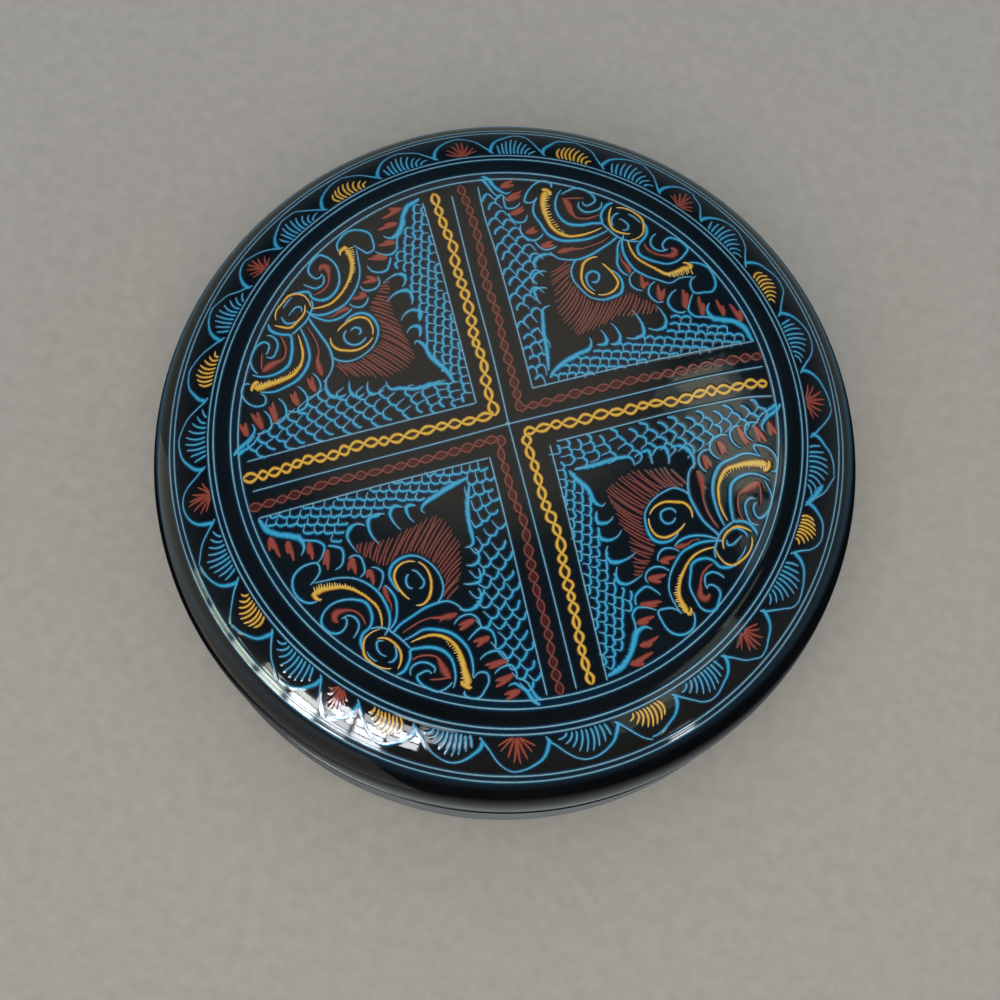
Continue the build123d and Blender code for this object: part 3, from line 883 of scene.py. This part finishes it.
def quarter(name, turn_by, cord, pulls):
    """One quarter of the lid's top, by where it faces in degrees, its cord and what pulls it aside."""
    right_arm = next(arm for arm in ARMS if abs(arm.turn + 45 - turn_by) % 360 < 1)
    left_arm = next(arm for arm in ARMS if abs(arm.turn - 45 - turn_by) % 360 < 1)

    def pulled(v, u):
        """A place of the drawing, drawn aside a little as this quarter's hand differs."""
        near = [(exp(-((v - pv) ** 2 + (u - pu) ** 2) / reach**2), dv, du) for pv, pu, dv, du, reach in pulls]
        return v + sum(n[0] * n[1] for n in near), u + sum(n[0] * n[2] for n in near)

    def put(points):
        """Listed points of this quarter, on the lid."""
        return [(*to_lid(turn_by, *pulled(v, u)), width) for v, u, width in points]

    def draw(part, paint, lines, **options):
        """Lay plain strokes of one paint as a piece of their own."""
        layer = Layer(part + name, paint)
        for points in lines:
            layer.stroke(put(points), **options)
        return layer

    draw("leaf_edge_", "b", LEAF_EDGE, ragged=0.25, press=1.35).build()
    draw("petal_cups_", "b", PETAL_CUPS, wobble=0.1, press=0.8).build()

    petals = draw("petals_", "r", ())
    for root, *tails in PETALS:
        between = [(a + b) / 2 for a, b in zip(*tails)]
        belly = [
            (*(r + (t - r) * part for r, t in zip(root, between)), w)
            for part, w in ((0.02, 0.8), (0.25, 1.4), (0.5, 1.25), (0.72, 0.4))
        ]
        petals.stroke(put(belly), wobble=0.05, press=1.0, halo=0.18)
        for tail in tails:
            tip = [0.86 * t + 0.14 * m for t, m in zip(tail, between)]
            nearly = [0.8 * t + 0.2 * r for r, t in zip(root, tip)]
            middle = [0.5 * r + 0.5 * t for r, t in zip(root, tip)]
            shape = ((*root, 0.7), (*middle, 1.15), (*nearly, 0.85), (*tip, 0.3))
            petals.stroke(put(shape), wobble=0.07, press=1.0, halo=0.18)
    for points in LONG_PETALS:
        petals.stroke(put(points), press=1.1)
    petals.build()

    feather = [
        ((v1, u1, 0.3), ((v1 + v2) / 2 + 0.15, (u1 + u2) / 2, 0.42), (v2, u2, 0.16))
        for v1, u1, v2, u2 in FEATHER
    ]
    draw("feather_strokes_", "u", feather, wobble=0.12, halo=0.3).build()
    draw("eye_ring_", "y", EYE_YELLOW, wobble=0.06, press=0.8).build()
    draw("eye_curl_", "b", EYE_BLUE + EYE_CURLS[name], wobble=0.06, press=0.8).build()
    draw("spray_curls_", "b", SPRAY_BLUE, wobble=0.1, press=0.8).build()
    draw("spray_roundel_", "y", SPRAY_YELLOW, wobble=0.1, press=1.0).build()
    draw("spray_buds_", "r", SPRAY_RED, wobble=0.1, press=1.15).build()

    crescents = draw("spray_crescents_", "y", CRESCENTS, ragged=0.25, press=1.0)
    for path, (dv, du) in COMBS:
        ticks = smooth_line(path, 0.55)
        for k, (v, u, _) in enumerate(ticks):
            reach = (0.6 + 0.65 * k / len(ticks)) * hand.uniform(0.8, 1.15)
            tick = put(((v, u, 0.36), (v + dv * reach, u + du * reach, 0.2)))
            crescents.stroke(tick, wobble=0.05, press=1.0, halo=0.15)
    crescents.build()

    fish_scale_net(name, pulled, right_arm, left_arm)
    lines = Layer("cord_border_lines_" + name, "p")
    for border, arm in ((right_arm.left_border, right_arm), (left_arm.right_border, left_arm)):
        lines.stroke(on_arm(arm, border, 0.32), wobble=0.05)
    lines.build()
    twisted_cord(name, turn_by, cord, right_arm, left_arm)


# Each pull is (v, u) of a spot, how far it is drawn aside there, and how wide the pull reaches.
quarter("north_east", 66.0, "thin", (
    (-0.2, 35, -1.3, -0.7, 4), (-2, 49, -1.0, -1.0, 3.5), (-12, 40.5, -0.3, -1.8, 5),
    (-18, 43, -1.6, -0.6, 3.5), (-20, 39, 0, -1.0, 5), (8, 42, 0, 0.9, 4), (14, 45.5, -1.4, 0.6, 3),
    (18, 42, -0.4, 1.2, 3), (10, 27, -1.1, -0.4, 6), (-8, 31, -1.2, -0.5, 3), (0.8, 13.4, 0.4, -1.0, 2.5),
    (-3.5, 19.5, -0.7, -1.5, 4), (-9.5, 26.5, -1.2, 0, 4.5), (4.5, 19, -0.9, -0.8, 4),
    (26, 40.5, -0.3, 1.2, 5),
))
quarter("north_west", 156.0, "fat", (
    (-2, 49.5, 0, -1.0, 4), (-10, 42, 0, -0.4, 4), (-3.2, 20.2, 0, -1.8, 3), (5, 19.5, -1.2, 0.4, 4),
    (7.5, 23.8, -0.5, 1.2, 3), (12, 29, -0.3, 1.8, 4.5),
))
quarter("south_west", 246.0, "thin", ())
quarter("south_east", 336.0, "fat", (
    (-0.2, 35, 0.4, -0.5, 4), (-2, 49.3, -2.0, -1.2, 4), (-12, 41, -1.2, -1.6, 5), (-18, 44, -1.6, -0.4, 4),
    (8, 42.2, -1.0, 0.3, 4), (17.5, 45.5, -2.4, 0.8, 4), (24, 41.3, -1.1, 1.6, 4.5), (11, 28, -0.5, 0.5, 5),
    (0.8, 13.4, 0.9, 0.9, 3), (-4.5, 21.5, -0.2, -1.1, 3.5), (-11.3, 30.5, -1.0, -1.5, 5.5),
    (-21, 37, -0.7, -1.4, 4.5), (5, 20.5, -1.4, -0.3, 4),
))


# ---- floor, light and camera ----
def studio_floor():
    """Matt pale paper sweep: faint fibre mottling so the plain floor isn't dead flat."""
    material, tree, shader, place = start("matt_pale_paper_floor")
    mottle = node(tree, "TexNoise", {"Vector": place, "Scale": per_mm(3), "Detail": 4.0})
    shade = node(tree, "ValToRGB", (mottle,), ((0.3, "#ada69f"), (0.7, "#b7b0a9")))
    feed(tree, shader, {"Base Color": shade, "Roughness": 0.9})
    bpy.ops.object.select_all(action="DESELECT")
    bpy.ops.mesh.primitive_plane_add(size=4.0, location=(0, 0, 0))
    sweep = bpy.context.object
    sweep.name = "studio_floor"
    sweep.data.materials.append(material)
    # The lacquer mirrors the dim room and not the paper, so its rim stays dark.
    sweep.visible_glossy = False


studio_floor()


def light_panel(
    name, azimuth, elevation, distance, width, height, radiance, colour, in_gloss=True, in_diffuse=True
):
    """A flat soft light aimed at the box; its radiance is what the lacquer mirrors."""
    lamp = bpy.data.lights.new(name, "AREA")
    lamp.shape = "RECTANGLE"
    lamp.size, lamp.size_y = width, height
    lamp.energy = radiance * width * height * pi
    lamp.color = tint(colour)[:3]
    panel = bpy.data.objects.new(name, lamp)
    bpy.context.scene.collection.objects.link(panel)
    a, e = radians(azimuth), radians(elevation)
    towards = Vector((cos(a) * cos(e), sin(a) * cos(e), sin(e)))
    panel.location = towards * distance + Vector((0, 0, 45 * MM))
    panel.rotation_euler = towards.to_track_quat("Z", "Y").to_euler()
    panel.visible_camera = False
    panel.visible_glossy = in_gloss
    panel.visible_diffuse = in_diffuse


# A long window of small panes low on the near left, which the shoulder mirrors as broken white
# patches: azimuth, elevation of the lowest pane, radiance of each pane upwards, and colour.
for azimuth, lowest, strengths, colour in (
    (-98, 29, (10, 6), "#f4f8ff"), (-105, 21, (24, 40, 14), "#f4f8ff"),
    (-112, 12, (30, 46, 44, 16), "#f4f8ff"), (-119.5, 10, (46, 20, 46, 30), "#f4f8ff"),
    (-127, 6, (40, 46, 24), "#f0f6f4"), (-135, 3, (24, 34, 10), "#e4eedc"),
    (-143, 1, (22, 14), "#d4dec4"), (-151, -1, (15, 10), "#c4d2b0"), (-159, -3, (9, 6), "#b4c6a0"),
):
    for row, radiance in enumerate(strengths):
        name = "window_pane_%d_%d" % (-azimuth, row)
        light_panel(name, azimuth, lowest + 5 * row, 1.3, 0.14, 0.095, radiance, colour, in_diffuse=False)
light_panel("far_window", -44, 7, 1.3, 0.12, 0.1, 24.0, "#f4f8ff", in_diffuse=False)
# Daylight through the garden window on the right: one slanting band of soft patches.
for name, azimuth, elevation, width, height, radiance in (
    ("garden_middle", 11, 55.5, 0.2, 0.19, 1.9), ("garden_low", -12, 43, 0.24, 0.12, 1.8),
    ("garden_edge", -32, 36, 0.5, 0.24, 1.7), ("garden_foot", -48, 30, 0.3, 0.2, 1.4),
):
    light_panel(name, azimuth, elevation, 1.2, width, height, radiance, "#c8d8d0")
light_panel("garden_high", 36, 57.5, 1.2, 0.34, 0.13, 2.5, "#e2dabe")
# A soft veil of the same daylight over the dome's right edge.
light_panel("garden_veil", 37, 58, 1.25, 0.33, 0.23, 1.6, "#c4d4cc", in_diffuse=False)
# The cloth and sill low on the near left show as a grey band along the skirt.
light_panel("low_cloth", -146, -27, 1.3, 2.0, 1.0, 0.5, "#d0ccc0", in_diffuse=False)
light_panel("overhead_fill", -100, 70, 1.6, 1.6, 1.6, 2.4, "#fff8f0", in_gloss=False)

world = bpy.data.worlds.new("soft_room")
bpy.context.scene.world = world
world.use_nodes = True
sky = world.node_tree
ceiling_patch = Vector((-0.109, 0.408, 0.906)).normalized()
toward = node(sky, "TexCoord").outputs["Generated"]
facing = node(sky, "VectorMath", (toward, ceiling_patch), operation="DOT_PRODUCT").outputs["Value"]
turned = node(sky, "MapRange", (facing, -1.0, 1.0))
# The room, from the side away from the bright ceiling patch up to the patch itself.
room = node(sky, "ValToRGB", (turned,), (
    (0.0, "#989c9c"), (0.05, "#686c6e"), (0.09, "#0a0e12"), (0.2, "#0a1218"), (0.28, "#5a849e"),
    (0.35, "#70726a"), (0.42, "#74705f"), (0.5, "#78848a"), (0.61, "#5a6872"), (0.72, "#2c4452"),
    (0.94, "#3a6a86"), (0.957, "#62808e"), (0.975, "#dcd8ca"), (1.0, "#ebe7d8"),
))
feed(sky, sky.nodes["Background"], (room, 1.25))
# Behind the box stands the same plain pale paper as under it.
paper_wall = node(sky, "Background", (tint("#84857f"), 1.0))
straight = node(sky, "LightPath").outputs["Is Camera Ray"]
seen = node(sky, "MixShader", (straight, sky.nodes["Background"], paper_wall))
feed(sky, sky.nodes["World Output"], (seen,))

camera_data = bpy.data.cameras.new("camera")
camera_data.lens = 54.0
camera_data.sensor_width = 36.0
camera = bpy.data.objects.new("camera", camera_data)
camera.location = (0.0, -78.85 * MM, 329.7 * MM)
camera.rotation_euler = (radians(12.94), radians(-1.584), radians(6.996))
camera_data.clip_start, camera_data.clip_end = 0.01, 20.0
bpy.context.scene.collection.objects.link(camera)
bpy.context.scene.camera = camera
bpy.context.scene.view_settings.view_transform = "Standard"
